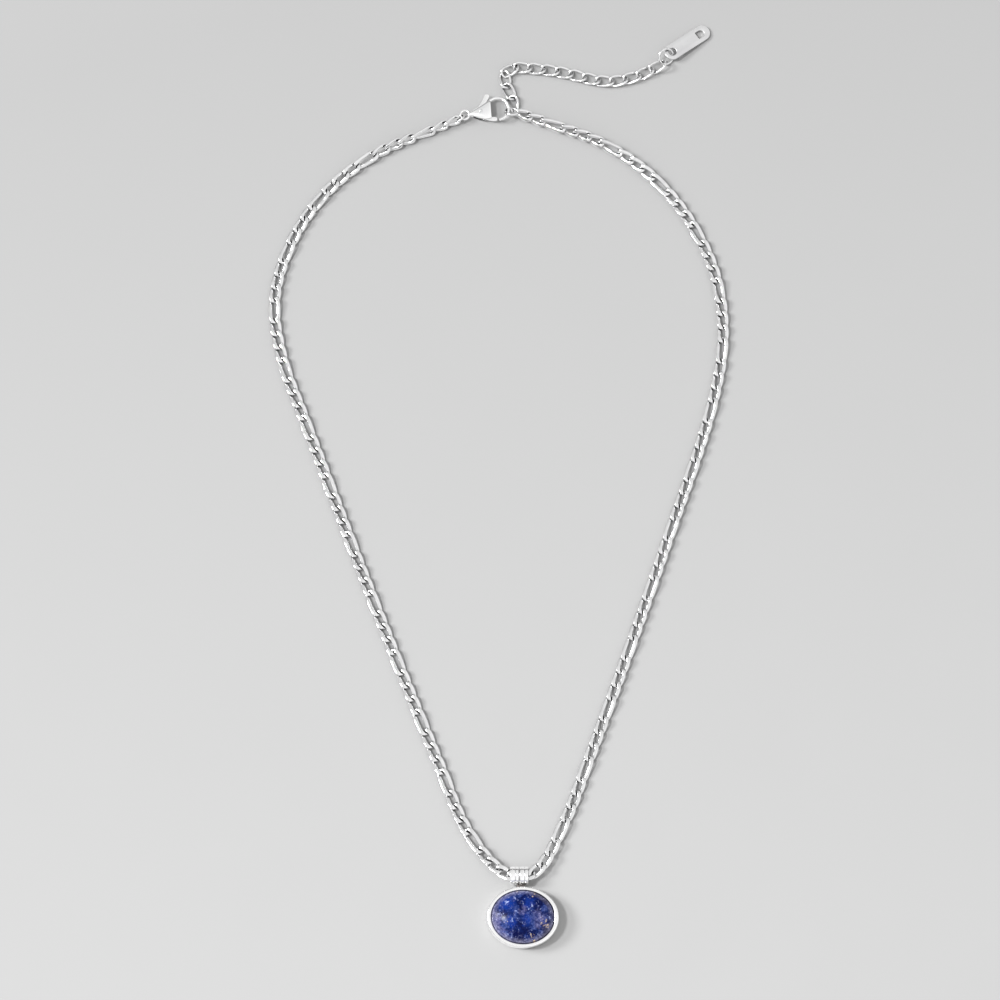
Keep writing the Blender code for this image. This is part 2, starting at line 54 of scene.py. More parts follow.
# Chain wire and links
WIRE = 0.64 * MM  # how thick a link's wire is from front to back
END_WIDTH = 0.78 * MM  # the wire is pressed this wide at a link's ends
SIDE_WIDTH = 0.94 * MM  # and this wide on its long sides
CHAIN_WIDTH = 2.85 * MM
SHORT_PITCH = 3.27 * MM
LONG_PITCH = 5.10 * MM
SHORTS_PER_UNIT = 3
SHORTS_AT_END = 2
UNITS_PER_ARM = 14
UNIT_LENGTH = SHORTS_PER_UNIT * SHORT_PITCH + LONG_PITCH
LINK_SWAY = 0.46 * MM  # how far a link's wire rises and dips round its loop
GROUND_HEIGHT = 0.62 * MM  # above this the high spots of a link are ground nearly flat
GROUND_SHARE = 0.25  # how much of the height above it is left
SHORT_FULLNESS = 0.84  # 1 makes a link oval, and less makes its corners fuller
LONG_FULLNESS = 0.66
ARM_START = {"left": -2.0 * MM, "right": 2.95 * MM}  # along the chain from its middle
ROLL = {  # each arm turns about itself between two distances along it, by this angle
    "left": (178 * MM, 212 * MM, math.radians(72)),
    "right": (170 * MM, 200 * MM, math.radians(-48)),
}
SEAM_AT = {"clasp_jump_ring": 2.5, "end_ring": 4.0, "tag_ring": 1.0}  # radians round each ring
SEAM_GAP = 0.05 * MM

# Extender and tag
EXTENDER_LINKS = 15
EXTENDER_PITCH = 3.34 * MM
EXTENDER_WIRE = 0.58 * MM
EXTENDER_WIDTH = 2.95 * MM
EXTENDER_SLACK = 0.13 * MM
EXTENDER_FIRST_ROLL = math.radians(11.5)
EXTENDER_LAST_RISE = 0.75 * MM  # how far the last link climbs to the tag's ring
TAG_SPAN = 8.95 * MM
TAG_HALF_WIDTH = 1.95 * MM
TAG_THICK = 0.50 * MM
TAG_TURN = math.radians(35.9)
TAG_PITCH = math.radians(6.0)
TAG_HOLE_RADIUS = 1.0 * MM
TAG_D_CENTRE = 8.47 * MM  # middle of the round side of the D-shaped hole
TAG_D_RADIUS = 0.94 * MM
TAG_D_FLAT = 7.42 * MM
TAG_ROUNDING = 0.11 * MM

# Bail, a tube with two pairs of ribs, each a wide one beside a narrow one
BAIL_RADIUS = 2.06 * MM
BAIL_BORE = 1.62 * MM
WIDE_RIB = 1.22 * MM
NARROW_RIB = 0.85 * MM
BAIL_HALF = WIDE_RIB + NARROW_RIB
RIB_GROOVE = 0.14 * MM
MIDDLE_GROOVE = 0.36 * MM
BORE_EASE = 0.08 * MM  # how far in from each end the bore starts to widen
BORE_FLARE = 0.06 * MM

# Pendant
PENDANT_TURN = math.radians(-1.5)
OVAL_RATIO = 0.842
BEZEL_HALF_X = 8.07 * MM
BEZEL_HEIGHT = 3.70 * MM
BEZEL_CROWN = 0.5 * MM  # height of the rim's rounded top
BEZEL_FOOT = 0.42 * MM  # radius of its rounded bottom edge
LIP_HALF_X = 7.02 * MM
SEAT_HALF_X = 7.20 * MM
STONE_HALF_X = 7.15 * MM
STONE_SEAT = 1.30 * MM
STONE_TOP = 5.60 * MM
PLATE_THICK = 0.70 * MM
HUB = 0.01 * MM  # radius of the tiny cap that closes a turned shape in its middle

# Patches of colour in the stone: x and y from its middle, and radius, in millimetres
NAVY_STAINS = [(2.6, 3.7, 2.8), (-0.8, -2.9, 3.6), (-0.2, 2.8, 1.8), (4.6, -3.2, 1.8), (-4.0, 0.6, 1.2)]
ROYAL_STAINS = [(-3.5, 2.9, 2.2), (-2.6, -1.4, 1.8), (1.0, -0.8, 1.6), (1.6, 3.2, 1.5)]
# The first mauve patch, on the right, is also a painted reflection of a lamp.
MAUVE_STAINS_AND_REFLECTION = [(3.6, -0.9, 2.2), (-5.6, -0.8, 1.4), (-0.1, 1.0, 0.9), (-4.6, -3.2, 1.4)]
GOLD_STAINS = [(4.5, -1.3, 1.1), (2.2, -5.4, 0.9)]

# Clasp: u runs from the eye to the hook's far end, v towards the thumb tab, and w is its thickness.
# Places in the clasp are in plain millimetres.
PIVOT_UV = (3.9, 0.3)
EYE_CONTACT_UV = (-1.06, 0.0)  # where the jump ring touches the eye
CLASP_HALF_THICK = 1.10 * MM
EYE_RADIUS = 1.06 * MM
EYE_WIRE = 0.56 * MM
HOOK_WIRE = 0.74 * MM
HOOK_DEPTH = 1.05 * MM
SLOT_WIDTH = 0.92 * MM
LEVER_THICK = 0.74 * MM
LEVER_ROUNDING = 0.14 * MM
RIVET_RADIUS = 0.34 * MM
RIVET_PLAY = 0.03 * MM
RIVET_PROUD = 0.04 * MM
BODY_STATIONS = [  # u, upper v, lower v, share of the full thickness
    (0.75, 0.36, -0.36, 0.30), (1.3, 0.50, -0.50, 0.42), (2.1, 0.92, -0.92, 0.66),
    (3.2, 1.52, -1.45, 0.88), (4.5, 2.22, -1.83, 1.0), (5.6, 2.82, -1.84, 1.0),
    (6.15, 3.05, -1.72, 0.96), (6.34, 2.98, -1.62, 0.86),
]
HOOK_ROUTE = [
    (5.8, 2.68), (7.2, 3.35), (8.6, 3.3), (9.7, 2.6), (10.35, 1.5), (10.5, 0.2), (10.1, -0.9),
    (9.2, -1.65), (8.1, -2.0),
]
LEVER_OUTLINE = [
    (2.95, 0.9), (4.0, 2.5), (4.85, 4.0), (5.2, 4.55), (5.8, 4.6), (6.15, 4.15), (5.55, 2.75),
    (4.75, 1.0), (4.95, -0.2), (6.2, -1.15), (7.55, -1.45), (7.5, -2.2), (5.2, -1.75),
    (3.6, -0.75), (3.05, -0.1),
]
SLOT_OUTLINE = [
    (2.0, -0.85), (2.0, 1.3), (3.0, 5.6), (7.0, 5.6), (6.6, 4.2), (5.45, 2.15), (5.45, 1.0),
    (8.0, 0.9), (8.0, -3.0), (4.4, -2.6),
]
SPRING_START = (2.12, 0.42)
SPRING_END = (2.86, 0.42)
SPRING_RADIUS = 0.30 * MM
SPRING_WIRE = 0.15 * MM
SPRING_TURNS = 3

# Camera
CAMERA_TILT = math.radians(14)
CAMERA_DISTANCE = 750.7 * MM
CAMERA_LENS = 116.6
SENSOR = 36
AIM = Vector((-5.10, 96.9, 0)) * MM

# Light
WORLD_TONES = ((0.06, 0.08), (0.16, 0.24), (0.29, 0.88))  # height in the sky and brightness
WORLD_LEAN = 0.06  # how much higher the dark band stands on the upper left than on the lower right
WORLD_DIM = 0.84  # brightness on the upper left
WORLD_BRIGHT = 1.14  # brightness on the lower right
KEY_PLACE = Vector((-2.3, 0.34, 1.85))  # metres from the middle of the necklace, as for the spark
KEY_SIZE = (0.84, 0.84)
KEY_POWER = 78
SPARK_PLACE = Vector((-0.80, -0.04, 1.45))
SPARK_SIZE = (0.20, 0.22)
SPARK_POWER = 19
FLOOR_HALF = 3
FLOOR_GAP = 0.02 * MM  # how far the floor stays below the necklace

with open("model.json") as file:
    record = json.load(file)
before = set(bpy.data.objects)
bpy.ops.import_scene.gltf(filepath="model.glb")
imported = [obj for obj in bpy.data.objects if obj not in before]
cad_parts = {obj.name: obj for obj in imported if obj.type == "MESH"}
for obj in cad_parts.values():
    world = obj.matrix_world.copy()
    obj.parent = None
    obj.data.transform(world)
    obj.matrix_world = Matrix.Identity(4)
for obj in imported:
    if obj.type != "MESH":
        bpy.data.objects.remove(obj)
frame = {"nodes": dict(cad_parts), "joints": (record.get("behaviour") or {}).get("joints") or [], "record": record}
CAD_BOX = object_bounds()
RECORD = frame["record"]
JOINTS = {joint["name"]: joint for joint in frame["joints"]}
BODY_OF = {
    node: body for body, members in RECORD["behaviour"]["bodies"].items() for node in members
}


def pivot(joint):
    return Vector(JOINTS[joint]["pos_m"])


def node_points(node):
    """The node's vertices at rest, one row each."""
    vertices = frame["nodes"][node].data.vertices
    return np.array([vertex.co for vertex in vertices], float)


def blend_step(value):
    """0 below 0, 1 above 1, and a smooth rise between them."""
    value = min(max(value, 0), 1)
    return value * value * (3 - 2 * value)


def grey(tone):
    """An opaque grey."""
    return (tone, tone, tone, 1)


# ---------------------------------------------------------------- materials


class Shader:
    """A short way to write shader nodes: every call adds a node and returns its output."""

    def __init__(self, name, world=False):
        self.owner = (bpy.data.worlds if world else bpy.data.materials).new(name)
        self.owner.use_nodes = True
        self.tree = self.owner.node_tree
        self.surface = self.tree.nodes["Background" if world else "Principled BSDF"]

    def link(self, value, socket):
        if isinstance(value, bpy.types.NodeSocket):
            self.tree.links.new(value, socket)
        else:
            socket.default_value = value

    def node(self, kind, settings=None, **inputs):
        made = self.tree.nodes.new(kind)
        for key, value in (settings or {}).items():
            setattr(made, key, value)
        for key, value in inputs.items():
            self.link(value, made.inputs[key.replace("_", " ")])
        return made

    def place(self, scale=(1, 1, 1), turn=(0, 0, 0)):
        spot = self.node("ShaderNodeTexCoord").outputs["Object"]
        moved = self.node("ShaderNodeMapping", None, Vector=spot, Scale=scale, Rotation=turn)
        return moved.outputs["Vector"]

    def noise(self, vector, scale, detail=3.0, roughness=0.5, distortion=0.0):
        made = self.node(
            "ShaderNodeTexNoise", None, Vector=vector, Scale=scale, Detail=detail,
            Roughness=roughness, Distortion=distortion,
        )
        return made.outputs["Fac"]

    def cells(self, vector, scale, feature="F1", output="Distance"):
        made = self.node("ShaderNodeTexVoronoi", {"feature": feature}, Vector=vector, Scale=scale)
        return made.outputs[output]

    def spread(self, value, low, high, to_low=0.0, to_high=1.0):
        made = self.node("ShaderNodeMapRange", {"clamp": True}, Value=value)
        made.inputs["From Min"].default_value = low
        made.inputs["From Max"].default_value = high
        made.inputs["To Min"].default_value = to_low
        made.inputs["To Max"].default_value = to_high
        return made.outputs["Result"]

    def maths(self, operation, first, second=0.0):
        made = self.node("ShaderNodeMath", {"operation": operation})
        self.link(first, made.inputs[0])
        self.link(second, made.inputs[1])
        return made.outputs[0]

    def mix(self, amount, first, second):
        made = self.node("ShaderNodeMix", {"data_type": "RGBA"})
        self.link(amount, made.inputs["Factor"])
        self.link(first, made.inputs[6])
        self.link(second, made.inputs[7])
        return made.outputs[2]

    def bump(self, height, strength, distance, under=None):
        made = self.node("ShaderNodeBump", None, Height=height, Strength=strength)
        made.inputs["Distance"].default_value = distance
        if under is not None:
            self.link(under, made.inputs["Normal"])
        return made.outputs["Normal"]

    def set(self, **inputs):
        for key, value in inputs.items():
            self.link(value, self.surface.inputs[key.replace("_", " ")])


def steel_surface(name, duller, brighter, reach, closed, fully_open):
    """Stainless steel with faint polishing marks, small waves, a few duller patches and painted shade in its
    crevices.
    """
    make = Shader(name)
    waves = make.noise(make.place(), 900, 2)
    haze = make.noise(make.place(), 260, 4, 0.6)
    marks = make.noise(make.place((1, 9, 1), (0, 0, 0.6)), 3200, 5, 0.7)
    bright = make.mix(make.spread(haze, 0.3, 0.7), duller, brighter)
    # Painted shade: the colour falls to near black in crevices, under parts and where parts crowd.
    tone = make.mix(crevice_shade_mask(make, reach, closed, fully_open), (0.07, 0.07, 0.075, 1), bright)
    rough = make.maths(
        "ADD", make.spread(haze, 0.3, 0.75, 0.07, 0.15), make.spread(marks, 0.4, 0.8, 0, 0.05)
    )
    fine = make.bump(marks, 0.10, 0.004 * MM)
    make.set(
        Base_Color=tone, Metallic=1.0, Roughness=rough,
        Normal=make.bump(waves, 0.25, 0.02 * MM, fine),
    )
    return make.owner


def crevice_shade_mask(make, reach, closed, fully_open):
    """1 on open surfaces and 0 deep in a crevice: the mask by which shade is painted into the steel's colour
    there.
    """
    opening = make.node("ShaderNodeAmbientOcclusion", {"samples": 8}, Distance=reach)
    return make.spread(opening.outputs["AO"], closed, fully_open)


def polished_steel():
    """The brightest finish, on the setting, the bail and the clasp."""
    return steel_surface(
        "polished_steel", (0.90, 0.90, 0.905, 1), (0.96, 0.96, 0.955, 1), 0.65 * MM, 0.25, 0.72
    )


def wire_steel():
    """Links and rings: a little greyer, and painted darker, as shade, where their wires crowd together."""
    return steel_surface("wire_steel", (0.74, 0.74, 0.745, 1), grey(0.82), 0.9 * MM, 0.30, 0.84)


def dull_solder():
    """The slightly grainy solder under the bail, its colour painted dark as the shade beneath the bail."""
    make = Shader("dull_solder")
    grain = make.noise(make.place(), 2200, 4, 0.6)
    patches = make.noise(make.place(), 700, 3)
    tone = make.mix(make.spread(patches, 0.3, 0.7), (0.05, 0.045, 0.045, 1), (0.22, 0.20, 0.19, 1))
    make.set(
        Base_Color=tone, Metallic=1.0, Roughness=make.spread(grain, 0.3, 0.7, 0.28, 0.45),
        Normal=make.bump(grain, 0.3, 0.02 * MM),
    )
    return make.owner


def satin_steel():
    """Stainless steel brushed along the tag, with a soft sheen and fine scratches."""
    make = Shader("satin_steel")
    brushed = make.noise(make.place((1, 22, 22), (0, 0, -TAG_TURN)), 420, 6, 0.7)
    patches = make.noise(make.place(), 240, 3)
    tone = make.mix(make.spread(patches, 0.3, 0.7), (0.66, 0.66, 0.665, 1), grey(0.76))
    rough = make.spread(brushed, 0.25, 0.75, 0.24, 0.42)
    make.set(
        Base_Color=tone, Metallic=1.0, Roughness=rough,
        Normal=make.bump(brushed, 0.35, 0.012 * MM),
    )
    return make.owner


def lapis():
    """Lapis lazuli: mottled royal and navy blue, pale calcite flecks and small pyrite specks, with painted light:
    a pale reflection on the right and a paler edge.
    """
    make = Shader("lapis_lazuli")
    spot = make.place()
    clouds = make.noise(spot, 430, 4, 0.6, 0.6)
    grains = make.noise(spot, 1150, 5, 0.7, 0.5)
    veins = make.noise(make.place((1.5, 1, 1), (0, 0, 0.4)), 640, 5, 0.68, 1.4)
    wander = make.maths("MULTIPLY", make.maths("SUBTRACT", clouds, 0.5), 6 * MM)
    shade = round_patch(make, wander, NAVY_STAINS)
    tone = make.maths("ADD", make.maths("MULTIPLY", clouds, 0.45), make.maths("MULTIPLY", grains, 0.55))
    tone = make.maths("SUBTRACT", tone, make.maths("MULTIPLY", shade, 0.13))
    deep = make.mix(
        make.spread(tone, 0.36, 0.47), (0.0001, 0.0015, 0.032, 1), (0.003, 0.012, 0.085, 1)
    )
    blue = make.mix(make.spread(tone, 0.47, 0.60), deep, (0.052, 0.078, 0.245, 1))
    royal = make.mix(
        make.maths("MULTIPLY", round_patch(make, wander, ROYAL_STAINS), 0.62), blue, (0.004, 0.030, 0.24, 1)
    )
    # Mauve veins and patches; the large patch on the right is also a painted reflection.
    mauve_share = make.maths(
        "MAXIMUM", make.spread(veins, 0.54, 0.72, 0, 0.5),
        make.maths("MULTIPLY", round_patch(make, wander, MAUVE_STAINS_AND_REFLECTION), make.spread(grains, 0.38, 0.6)),
    )
    mauve = make.mix(mauve_share, royal, (0.125, 0.120, 0.255, 1))
    fleck_places = make.maths(
        "MULTIPLY", make.spread(veins, 0.54, 0.63), make.spread(grains, 0.51, 0.61)
    )
    flecked = make.mix(fleck_places, mauve, (0.33, 0.39, 0.64, 1))
    # Painted light: the edge of the stone is paler, as rim highlights.
    rim = make.mix(rim_share(make, grains), flecked, (0.27, 0.26, 0.36, 1))
    specks = make.spread(make.noise(spot, 2700, 3, 0.7), 0.40, 0.60)
    speckled = make.mix(make.maths("MULTIPLY", specks, 0.45), rim, (0.002, 0.008, 0.055, 1))
    dots = make.maths(
        "MULTIPLY", make.spread(make.cells(spot, 1300), 0.30, 0.18),
        make.spread(make.noise(spot, 260, 2), 0.62, 0.66),
    )
    smears = make.maths(
        "MULTIPLY", make.spread(make.noise(spot, 1700, 2), 0.53, 0.60), round_patch(make, wander, GOLD_STAINS)
    )
    gold = make.maths("MAXIMUM", dots, smears)
    colour = make.mix(gold, speckled, (0.62, 0.48, 0.36, 1))
    make.set(
        Base_Color=colour,
        Metallic=make.maths("MULTIPLY", gold, 0.4),
        Roughness=make.spread(grains, 0.3, 0.7, 0.16, 0.24),
        Specular_IOR_Level=0.08,
        Normal=make.bump(grains, 0.06, 0.01 * MM),
    )
    return make.owner


def round_patch(make, wander, spots):
    """1 at the middle of each round patch and 0 outside it, with an uneven edge."""
    flat = make.place((1, 1, 0))
    share = 0.0
    for x, y, radius in spots:
        reach = make.node("ShaderNodeVectorMath", {"operation": "DISTANCE"})
        make.link(flat, reach.inputs[0])
        make.link((x * MM, y * MM, 0), reach.inputs[1])
        uneven = make.maths("ADD", reach.outputs["Value"], wander)
        inside = make.spread(uneven, radius * MM, 0.35 * radius * MM)
        share = inside if share == 0.0 else make.maths("MAXIMUM", share, inside)
    return share


def rim_share(make, grains):
    """0 over most of the stone and rising to 1 at its edge, where its colour is painted paler as light leaking in
    from the rim.
    """
    squash = (1 / STONE_HALF_X, 1 / (STONE_HALF_X * OVAL_RATIO), 0)
    reach = make.node("ShaderNodeVectorMath", {"operation": "LENGTH"})
    make.link(make.place(squash), reach.inputs[0])
    near = make.spread(reach.outputs["Value"], 0.80, 1.0, 0.0, 0.95)
    return make.maths("MULTIPLY", near, make.spread(grains, 0.36, 0.60, 0.25, 1.0))


def floor_paint():
    """A plain pale grey surface, very slightly uneven, painted a little lighter towards the pendant as the light
    falls across it.

    In reflections it is paler, so that the steel looks as bright low down as it does on a lit table.
    """
    make = Shader("floor_paint")
    split = make.node("ShaderNodeSeparateXYZ", None, Vector=make.place())
    lean = make.maths("SUBTRACT", split.outputs["Y"], make.maths("MULTIPLY", split.outputs["X"], 0.345))
    # Painted light: lighter towards the pendant and darker away from it.
    fade = make.mix(make.spread(lean, -0.04, 0.24), grey(0.362), grey(0.297))
    grain = make.noise(make.place(), 40, 3)
    uneven = make.mix(make.spread(grain, 0.3, 0.7, 0, 0.04), fade, grey(0.28))
    reflected = make.node("ShaderNodeLightPath").outputs["Is Glossy Ray"]
    make.set(
        Base_Color=make.mix(reflected, uneven, grey(0.45)), Roughness=0.9,
        Specular_IOR_Level=0.05,
        Normal=make.bump(make.noise(make.place(), 3000, 3), 0.05, 0.01 * MM),
    )
    return make.owner


# ---------------------------------------------------------------- shapes


def new_piece(name, mesh, node, material, sharp=40):
    """A finished piece that stands for a CAD node and moves with its body.

    Edges sharper than the angle, in degrees, stay sharp. Its one slot holds the given material.
    """
    mesh.materials.clear()
    mesh.materials.append(material)
    mesh.shade_smooth()
    mesh.set_sharp_from_angle(angle=math.radians(sharp))
    piece = bpy.data.objects.new(name, mesh)
    bpy.context.scene.collection.objects.link(piece)
    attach(piece, BODY_OF[node])
    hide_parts(node)
    return piece


class Skin:
    """Vertices and faces gathered from several closed surfaces into one mesh."""

    def __init__(self):
        self.points = []
        self.faces = []

    def add_grid(self, rows, closed_rows=True, caps=False):
        """A surface of equal rings of points, whose last ring can join the first."""
        base = len(self.points)
        count, across = len(rows), len(rows[0])
        for row in rows:
            self.points.extend(map(tuple, row))
        for i in range(count if closed_rows else count - 1):
            for k in range(across):
                j, m = (i + 1) % count, (k + 1) % across
                self.faces.append((
                    base + i * across + k, base + j * across + k,
                    base + j * across + m, base + i * across + m,
                ))
        if caps:
            self.faces.append(tuple(base + k for k in range(across)))
            self.faces.append(tuple(base + (count - 1) * across + k for k in reversed(range(across))))

    def mesh(self, name):
        """The gathered surfaces as a mesh, with every face turned outwards."""
        mesh = bpy.data.meshes.new(name)
        mesh.from_pydata(self.points, [], self.faces)
        shape = bmesh.new()
        shape.from_mesh(mesh)
        bmesh.ops.recalc_face_normals(shape, faces=shape.faces)
        shape.to_mesh(mesh)
        shape.free()
        return mesh


def grid_mesh(name, rows, closed_rows=True):
    """A mesh of one surface, with a cap at each end if its last ring doesn't join the first."""
    skin = Skin()
    skin.add_grid(rows, closed_rows, caps=not closed_rows)
    return skin.mesh(name)


def wire_rows(path, up, width, height, sides, squareness=2.0, closed=True):
    """Rings of points round a path; up is the direction the wire's height is measured in."""
    path = np.array(path, float)
    if closed:
        ahead = np.roll(path, -1, axis=0) - np.roll(path, 1, axis=0)
    else:
        ahead = np.gradient(path, axis=0)
    ahead /= np.linalg.norm(ahead, axis=1)[:, None]
    side = np.cross(up, ahead)
    side /= np.linalg.norm(side, axis=1)[:, None]
    top = np.cross(ahead, side)
    turns = np.linspace(0, 2 * np.pi, sides, endpoint=False) + np.pi / sides
    across = np.outer(np.broadcast_to(width, len(path)) / 2, rounded(np.cos(turns), squareness))
    along = np.outer(np.broadcast_to(height, len(path)) / 2, rounded(np.sin(turns), squareness))
    return path[:, None] + across[:, :, None] * side[:, None] + along[:, :, None] * top[:, None]


def rounded(wave, squareness):
    """A sine or cosine made squarer: 2 leaves it as it is."""
    return np.sign(wave) * np.abs(wave) ** (2 / squareness)


def link_loop(half_length, half_width, sway, fullness, count):
    """The centre line of a curb link, which sways up and down twice round its loop."""
    turn = np.linspace(0, 2 * np.pi, count, endpoint=False)
    x = half_length * np.sign(np.cos(turn)) * np.abs(np.cos(turn)) ** fullness
    y = half_width * np.sign(np.sin(turn)) * np.abs(np.sin(turn)) ** fullness
    return even_loop(np.stack([x, y, -sway * np.sin(2 * turn)], axis=1))


def even_loop(points):
    """The same closed loop with its points spread evenly along it."""
    closed = np.vstack([points, points[:1]])
    run = np.concatenate([[0], np.cumsum(np.linalg.norm(np.diff(closed, axis=0), axis=1))])
    spots = np.linspace(0, run[-1], len(points), endpoint=False)
    return np.stack([np.interp(spots, run, closed[:, axis]) for axis in range(3)], axis=1)


def chain_link_rows(pitch):
    """One figaro link in its own frame, with the high spots of its wire ground down."""
    long_one = pitch > SHORT_PITCH
    loop = link_loop(
        (pitch + END_WIDTH) / 2,
        (CHAIN_WIDTH - SIDE_WIDTH) / 2,
        LINK_SWAY,
        LONG_FULLNESS if long_one else SHORT_FULLNESS,
        64 if long_one else 52,
    )
    at_side = np.abs(loop[:, 1]) / np.abs(loop[:, 1]).max()
    width = END_WIDTH + (SIDE_WIDTH - END_WIDTH) * at_side**2
    rows = wire_rows(loop, (0, 0, 1), width, WIRE, 18, 2.5)
    height = rows[:, :, 2]
    over = np.maximum(np.abs(height) - GROUND_HEIGHT, 0)
    rows[:, :, 2] = height - np.sign(height) * over * (1 - GROUND_SHARE)
    return rows


def link_frame(start, end, roll):
    """The place of a link that runs from start to end, rolled about its length."""
    along = (end - start).normalized()
    side = Vector((0, 0, 1)).cross(along).normalized()
    up = along.cross(side)
    turned = Matrix((along, side, up)).transposed() @ Matrix.Rotation(roll, 3, "X")
    return Matrix.Translation((start + end) / 2) @ turned.to_4x4()


def moved_rows(rows, matrix):
    spin = np.array(matrix.to_3x3())
    return rows @ spin.T + np.array(matrix.translation)


class Line:
    """A smooth line through places known by how far along the chain they are."""

    def __init__(self, stations, places):
        order = np.argsort(stations)
        self.stations = np.array(stations, float)[order]
        self.places = np.array(places, float)[order]
        slopes = np.diff(self.places, axis=0) / np.diff(self.stations)[:, None]
        self.slopes = np.vstack([slopes[:1], (slopes[1:] + slopes[:-1]) / 2, slopes[-1:]])

    def at(self, station):
        last = len(self.stations) - 2
        i = int(np.clip(np.searchsorted(self.stations, station) - 1, 0, last))
        step = self.stations[i + 1] - self.stations[i]
        t = (station - self.stations[i]) / step
        if t > 1:
            return Vector(self.places[-1] + self.slopes[-1] * (t - 1) * step)
        if t < 0:
            return Vector(self.places[0] + self.slopes[0] * t * step)
        a, b = self.places[i], self.places[i + 1]
        spot = (
            a * (2 * t**3 - 3 * t**2 + 1)
            + b * (3 * t**2 - 2 * t**3)
            + self.slopes[i] * step * (t**3 - 2 * t**2 + t)
            + self.slopes[i + 1] * step * (t**3 - t**2)
        )
        return Vector(spot)


def chain_line():
    """The whole chain as one line, left arm at negative distances and right arm at positive."""
    stations, places = [], []
    for side, sign in (("left", -1), ("right", 1)):
        for number in range(UNITS_PER_ARM + 1):
            stations.append(ARM_START[side] + sign * number * UNIT_LENGTH)
            places.append(pivot(f"{side}_fold_{number + 1:02d}"))
    return Line(stations, places)


def unit_pitches(at_end):
    """The lengths of one node's links, in order from the pendant."""
    if at_end:
        return [SHORT_PITCH] * SHORTS_AT_END
    return [SHORT_PITCH] * SHORTS_PER_UNIT + [LONG_PITCH]


def roll_at(side, distance):
    """How far the chain has turned about itself at a distance along an arm."""
    roll_from, roll_to, roll = ROLL[side]
    return roll * blend_step((distance - roll_from) / (roll_to - roll_from))


def build_chain(steel):
    """The centre link, then each arm's nodes, every link of a node as its own loop of wire."""
    line = chain_line()
    links = {pitch: chain_link_rows(pitch) for pitch in (SHORT_PITCH, LONG_PITCH)}
    ends = [line.at(ARM_START[side]) for side in ("left", "right")]
    centre = grid_mesh("centre_link", moved_rows(links[LONG_PITCH], link_frame(*ends, 0)))
    new_piece("centre_link_wire", centre, "centre_link", steel)
    for side, sign in (("left", -1), ("right", 1)):
        for number in range(UNITS_PER_ARM + 1):
            at_end = number == UNITS_PER_ARM
            node = f"{side}_chain_end" if at_end else f"{side}_chain_{number + 1:02d}"
            run = abs(ARM_START[side]) + number * UNIT_LENGTH
            skin = Skin()
            for pitch in unit_pitches(at_end):
                start, end = (line.at(sign * spot) for spot in (run, run + pitch))
                place = link_frame(start, end, roll_at(side, run + pitch / 2))
                skin.add_grid(moved_rows(links[pitch], place))
                run += pitch
            new_piece(node + "_links", skin.mesh(node), node, steel)


def node_ring(node):
    """Centre, turn, radius and wire of a ring-shaped node, from the spread of its points."""
    points = node_points(node)
    centre = points.mean(0)
    axes = np.linalg.eigh(np.cov((points - centre).T))[1]
    normal = Vector(axes[:, 0])
    if normal.z < 0:
        normal = -normal
    along = Vector((0, 0, 1)).cross(normal).normalized()
    turn = Matrix((along, normal.cross(along), normal)).transposed().to_4x4()
    local = (points - centre) @ np.array(turn.to_3x3())
    reach = np.hypot(local[:, 0], local[:, 1])
    wire = local[:, 2].max() - local[:, 2].min()
    return Matrix.Translation(Vector(centre)) @ turn, (reach.max() + reach.min()) / 2, wire


def build_ring(node, steel, seam_at):
    """A jump ring: round wire bent to a circle, with a hairline seam where its ends meet."""
    place, radius, wire = node_ring(node)
    gap = SEAM_GAP / radius
    turns = np.linspace(seam_at + gap / 2, seam_at + 2 * np.pi - gap / 2, 73)
    path = np.stack([radius * np.cos(turns), radius * np.sin(turns), 0 * turns], axis=1)
    rows = wire_rows(path, (0, 0, 1), wire * 0.98, wire * 0.98, 16, 2.0, closed=False)
    first, last = (path[i] + (rows[i] - path[i]) * 0.8 for i in (0, -1))
    rows = np.concatenate([first[None], rows, last[None]])
    new_piece(node + "_wire", grid_mesh(node, moved_rows(rows, place), False), node, steel, 50)


def build_extender(steel):
    """Open curb links, each one running from its own joint to the next link's."""
    loop = link_loop(
        (EXTENDER_PITCH + EXTENDER_WIRE) / 2 + EXTENDER_SLACK,
        (EXTENDER_WIDTH - EXTENDER_WIRE) / 2,
        LINK_SWAY,
        SHORT_FULLNESS,
        52,
    )
    link = wire_rows(loop, (0, 0, 1), EXTENDER_WIRE * 1.04, EXTENDER_WIRE, 14, 2.1)
    starts = [pivot(f"extender_fold_{number:02d}") for number in range(1, EXTENDER_LINKS + 1)]
    heading = (starts[-1] - starts[-2]).normalized()
    starts.append(starts[-1] + heading * EXTENDER_PITCH + Vector((0, 0, EXTENDER_LAST_RISE)))
    for number in range(1, EXTENDER_LINKS + 1):
        node = f"extender_link_{number:02d}"
        roll = EXTENDER_FIRST_ROLL if number == 1 else 0
        place = link_frame(starts[number - 1], starts[number], roll)
        new_piece(node + "_wire", grid_mesh(node, moved_rows(link, place)), node, steel)


def turned_rows(profile, steps):
    """Rows of points: the (radius, height) profile at every step of a full turn about z."""
    radii, heights = np.array(profile, float).T
    turns = np.linspace(0, 2 * np.pi, steps, endpoint=False)
    x, y = np.outer(np.cos(turns), radii), np.outer(np.sin(turns), radii)
    return np.stack([x, y, np.broadcast_to(heights, x.shape)], axis=2)


def bend(centre, radius, start, end, count):
    """Points of a round edge in a profile, from one angle to another in degrees."""
    turns = np.radians(np.linspace(start, end, count))
    return [(centre[0] + radius * math.cos(t), centre[1] + radius * math.sin(t)) for t in turns]


def oval(rows):
    """A turned shape pressed to the pendant's oval and set in its place."""
    back = Vector(RECORD["mounts"][0]["pos_m"])
    turn = Matrix.Rotation(PENDANT_TURN, 4, "Z")
    return moved_rows(rows * (1, OVAL_RATIO, 1), Matrix.Translation(back) @ turn)


